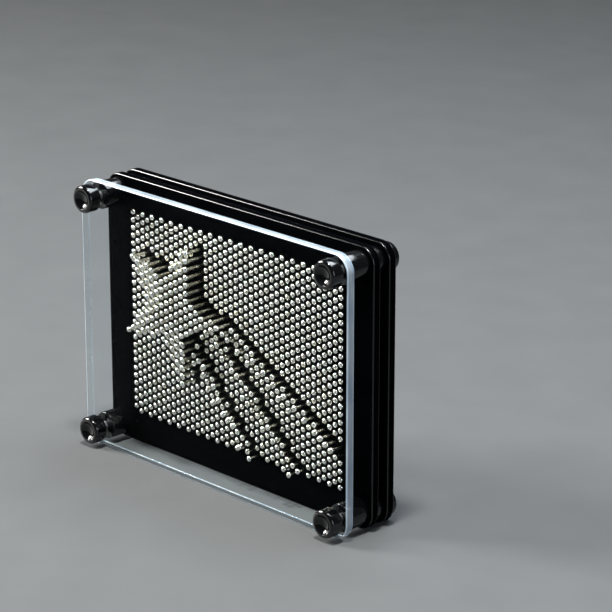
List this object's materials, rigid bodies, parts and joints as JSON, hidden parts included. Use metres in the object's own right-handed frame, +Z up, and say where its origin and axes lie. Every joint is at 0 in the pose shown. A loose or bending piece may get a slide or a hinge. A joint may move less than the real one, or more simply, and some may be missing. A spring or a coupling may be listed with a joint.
{
  "type": "pin art impression toy",
  "caption": "Desk toy with a clear cover and two perforated black plates on four screwed posts, and a field of headed steel pins that slide to hold an impression.",
  "frame": {"origin": "centre of the bounding box's base: the sheets' long lower edges, on which the toy stands, are at Z = 0", "axes": "+X across the sheets to the right as seen from the cover, -Y out of the clear cover (front), +Y out of the pin tails (back), +Z up"},
  "size_m": [0.127, 0.034, 0.095],
  "materials": {
    "clear_acrylic": "clear polished acrylic",
    "black_plate": "semi-gloss black plastic sheet",
    "black_knob": "glossy moulded black plastic",
    "black_spacer": "glossy moulded black plastic",
    "screw_steel": "zinc-plated steel",
    "pin_steel": "nickel-plated steel"
  },
  "bodies": {
    "frame": {"front_cover": "clear_acrylic", "pin_plate": "black_plate", "guide_plate": "black_plate", "top_left_front_knob": "black_knob", "top_right_front_knob": "black_knob", "bottom_left_front_knob": "black_knob", "bottom_right_front_knob": "black_knob", "top_left_front_spacer": "black_spacer", "top_right_front_spacer": "black_spacer", "bottom_left_front_spacer": "black_spacer", "bottom_right_front_spacer": "black_spacer", "top_left_middle_spacer": "black_spacer", "top_right_middle_spacer": "black_spacer", "bottom_left_middle_spacer": "black_spacer", "bottom_right_middle_spacer": "black_spacer", "top_left_rear_foot": "black_knob", "top_right_rear_foot": "black_knob", "bottom_left_rear_foot": "black_knob", "bottom_right_rear_foot": "black_knob", "top_left_tie_screw": "screw_steel", "top_right_tie_screw": "screw_steel", "bottom_left_tie_screw": "screw_steel", "bottom_right_tie_screw": "screw_steel"},
    "pins_block_a1": {"pins_block_a1": "pin_steel"},
    "pins_block_a2": {"pins_block_a2": "pin_steel"},
    "pins_block_a3": {"pins_block_a3": "pin_steel"},
    "pins_block_a4": {"pins_block_a4": "pin_steel"},
    "pins_block_b1": {"pins_block_b1": "pin_steel"},
    "pins_block_b2": {"pins_block_b2": "pin_steel"},
    "pins_block_b3": {"pins_block_b3": "pin_steel"},
    "pins_block_b4": {"pins_block_b4": "pin_steel"},
    "pins_block_c1": {"pins_block_c1": "pin_steel"},
    "pins_block_c2": {"pins_block_c2": "pin_steel"},
    "pins_block_c3": {"pins_block_c3": "pin_steel"},
    "pins_block_c4": {"pins_block_c4": "pin_steel"},
    "pins_star": {"pins_star": "pin_steel"},
    "pins_trail_upper_a": {"pins_trail_upper_a": "pin_steel"},
    "pins_trail_upper_b": {"pins_trail_upper_b": "pin_steel"},
    "pins_trail_middle_a": {"pins_trail_middle_a": "pin_steel"},
    "pins_trail_middle_b": {"pins_trail_middle_b": "pin_steel"},
    "pins_trail_lower_a": {"pins_trail_lower_a": "pin_steel"},
    "pins_trail_lower_b": {"pins_trail_lower_b": "pin_steel"}
  },
  "joints": [
    {"name": "block_a1_slide", "type": "slide", "parent": "frame", "child": "pins_block_a1", "axis": [0, -1, 0], "range_m": [0, 0.0072]},
    {"name": "block_a2_slide", "type": "slide", "parent": "frame", "child": "pins_block_a2", "axis": [0, -1, 0], "range_m": [0, 0.0072]},
    {"name": "block_a3_slide", "type": "slide", "parent": "frame", "child": "pins_block_a3", "axis": [0, -1, 0], "range_m": [0, 0.0072]},
    {"name": "block_a4_slide", "type": "slide", "parent": "frame", "child": "pins_block_a4", "axis": [0, -1, 0], "range_m": [0, 0.0072]},
    {"name": "block_b1_slide", "type": "slide", "parent": "frame", "child": "pins_block_b1", "axis": [0, -1, 0], "range_m": [0, 0.0072]},
    {"name": "block_b2_slide", "type": "slide", "parent": "frame", "child": "pins_block_b2", "axis": [0, -1, 0], "range_m": [0, 0.0072]},
    {"name": "block_b3_slide", "type": "slide", "parent": "frame", "child": "pins_block_b3", "axis": [0, -1, 0], "range_m": [0, 0.0072]},
    {"name": "block_b4_slide", "type": "slide", "parent": "frame", "child": "pins_block_b4", "axis": [0, -1, 0], "range_m": [0, 0.0072]},
    {"name": "block_c1_slide", "type": "slide", "parent": "frame", "child": "pins_block_c1", "axis": [0, -1, 0], "range_m": [0, 0.0072]},
    {"name": "block_c2_slide", "type": "slide", "parent": "frame", "child": "pins_block_c2", "axis": [0, -1, 0], "range_m": [0, 0.0072]},
    {"name": "block_c3_slide", "type": "slide", "parent": "frame", "child": "pins_block_c3", "axis": [0, -1, 0], "range_m": [0, 0.0072]},
    {"name": "block_c4_slide", "type": "slide", "parent": "frame", "child": "pins_block_c4", "axis": [0, -1, 0], "range_m": [0, 0.0072]},
    {"name": "star_slide", "type": "slide", "parent": "frame", "child": "pins_star", "axis": [0, -1, 0], "range_m": [-0.007, 0.0002]},
    {"name": "trail_upper_a_slide", "type": "slide", "parent": "frame", "child": "pins_trail_upper_a", "axis": [0, -1, 0], "range_m": [-0.0042, 0.003]},
    {"name": "trail_upper_b_slide", "type": "slide", "parent": "frame", "child": "pins_trail_upper_b", "axis": [0, -1, 0], "range_m": [-0.0024, 0.0048]},
    {"name": "trail_middle_a_slide", "type": "slide", "parent": "frame", "child": "pins_trail_middle_a", "axis": [0, -1, 0], "range_m": [-0.0044, 0.0028]},
    {"name": "trail_middle_b_slide", "type": "slide", "parent": "frame", "child": "pins_trail_middle_b", "axis": [0, -1, 0], "range_m": [-0.0026, 0.0046]},
    {"name": "trail_lower_a_slide", "type": "slide", "parent": "frame", "child": "pins_trail_lower_a", "axis": [0, -1, 0], "range_m": [-0.0038, 0.0034]},
    {"name": "trail_lower_b_slide", "type": "slide", "parent": "frame", "child": "pins_trail_lower_b", "axis": [0, -1, 0], "range_m": [-0.0022, 0.005]}
  ]
}
